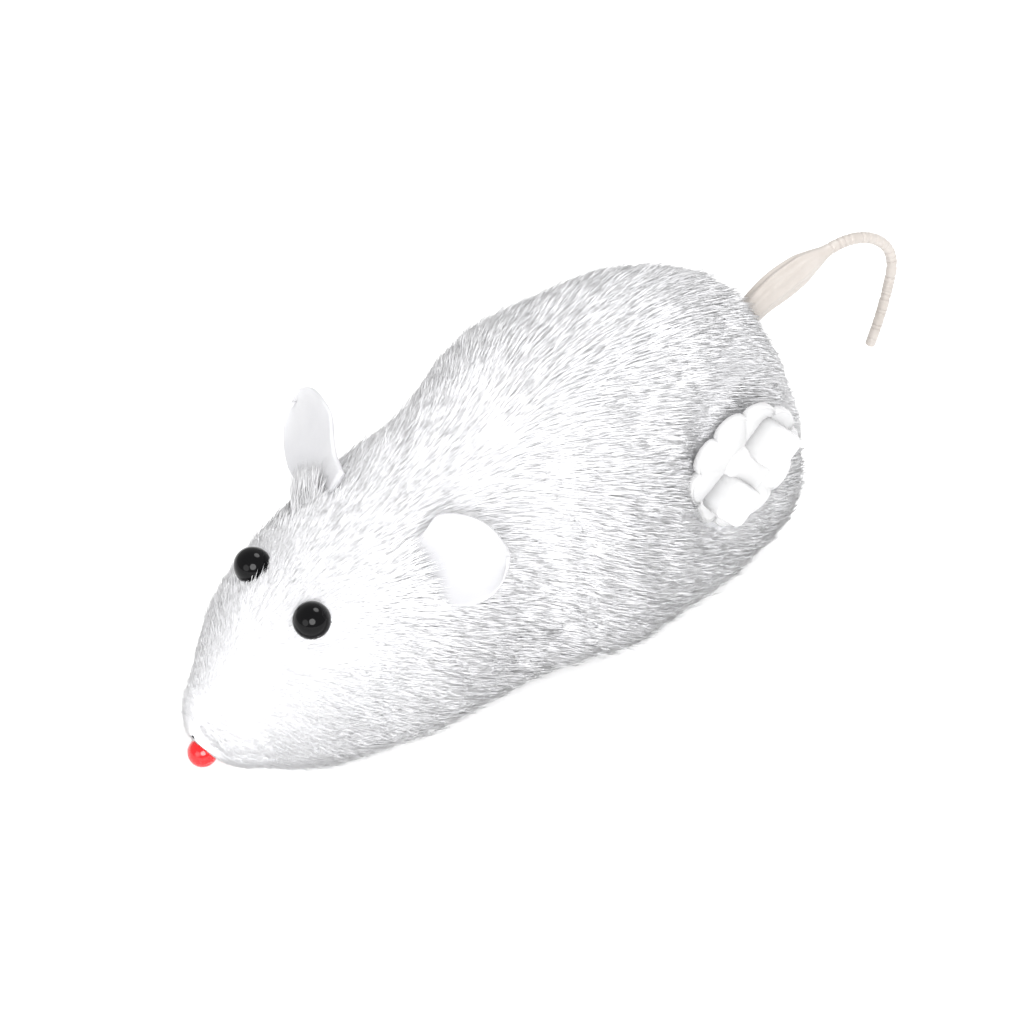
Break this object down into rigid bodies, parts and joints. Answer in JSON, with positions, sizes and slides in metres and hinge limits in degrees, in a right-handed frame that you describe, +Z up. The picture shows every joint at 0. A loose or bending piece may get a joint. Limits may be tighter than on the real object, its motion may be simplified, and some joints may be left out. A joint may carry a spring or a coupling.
{
  "type": "clockwork mouse",
  "caption": "Plush wind-up mouse with a scalloped side key, bead eyes and nose, moulded ears, a hooked tail that turns, and a spring motor that drives its wheels.",
  "frame": {"origin": "on the floor, under the middle of the bounding box", "axes": "+X to the nose, +Y to the key side, +Z up"},
  "size_m": [0.136, 0.0532, 0.0506],
  "materials": {
    "white_plush": "short combed plush pile",
    "grey_styrene": "moulded, satin",
    "white_vinyl": "moulded, matt",
    "tail_vinyl": "moulded, satin, pinkish cream",
    "black_gloss": "polished bead",
    "red_gloss": "polished bead",
    "steel": "bright steel",
    "blued_spring_steel": "tempered blue strip",
    "brass": "stamped",
    "natural_acetal": "moulded, natural",
    "black_rubber": "matt"
  },
  "bodies": {
    "body": {"fur_skin": "white_plush", "body_shell": "grey_styrene", "base_plate": "grey_styrene", "eye_left": "black_gloss", "eye_right": "black_gloss", "nose_bead": "red_gloss", "ear_left": "white_vinyl", "ear_right": "white_vinyl", "frame_plate_left": "steel", "frame_plate_right": "steel", "pillar_front": "steel", "pillar_rear": "steel", "spring_post": "steel", "frame_foot_front": "natural_acetal", "frame_foot_rear": "natural_acetal", "tail_bracket": "natural_acetal", "tail_bush": "natural_acetal", "axle_bracket_left": "natural_acetal", "axle_bracket_right": "natural_acetal", "shell_screw_front": "steel", "shell_screw_rear": "steel", "frame_screw_front": "steel", "frame_screw_rear": "steel", "mainspring": "blued_spring_steel"},
    "key": {"key": "white_vinyl", "key_arbor": "steel", "ratchet_wheel": "steel"},
    "great": {"great_wheel": "brass", "crown_wheel": "natural_acetal", "click_spring": "blued_spring_steel", "click_rivet": "steel"},
    "second": {"second_arbor": "steel", "second_pinion": "natural_acetal", "second_wheel": "natural_acetal"},
    "drive": {"drive_axle": "steel", "drive_pinion": "natural_acetal", "drive_wheel_left": "white_vinyl", "drive_wheel_right": "white_vinyl", "tyre_left": "black_rubber", "tyre_right": "black_rubber"},
    "tail": {"tail": "tail_vinyl", "tail_shaft": "steel", "tail_pinion": "natural_acetal"},
    "front": {"front_axle": "steel", "front_wheel_left": "white_vinyl", "front_wheel_right": "white_vinyl"}
  },
  "joints": [
    {"name": "drive_spin", "type": "hinge", "parent": "body", "child": "drive", "pos_m": [-0.01388, 0.00034, 0.009], "axis": [0, 1, 0], "continuous": true},
    {"name": "second_spin", "type": "hinge", "parent": "body", "child": "second", "pos_m": [-0.00972, 0.00034, 0.0209], "axis": [0, 1, 0], "continuous": true},
    {"name": "great_spin", "type": "hinge", "parent": "body", "child": "great", "pos_m": [-0.01788, 0.00034, 0.0305], "axis": [0, 1, 0], "continuous": true},
    {"name": "tail_spin", "type": "hinge", "parent": "body", "child": "tail", "pos_m": [-0.0363, 0.00034, 0.03532], "axis": [-0.9675, 0, 0.2529], "continuous": true},
    {"name": "key_turn", "type": "hinge", "parent": "body", "child": "key", "pos_m": [-0.01788, 0.00034, 0.0305], "axis": [0, -1, 0], "range_deg": [0, 1440], "deforming": ["mainspring", "click_spring"]},
    {"name": "front_spin", "type": "hinge", "parent": "body", "child": "front", "pos_m": [0.03712, 0.00034, 0.006], "axis": [0, 1, 0], "continuous": true}
  ],
  "couplings": [
    {"joint": "second_spin", "follows": "drive_spin", "ratio": -0.3125},
    {"joint": "great_spin", "follows": "drive_spin", "ratio": 0.097656},
    {"joint": "tail_spin", "follows": "drive_spin", "ratio": 0.29297}
  ]
}
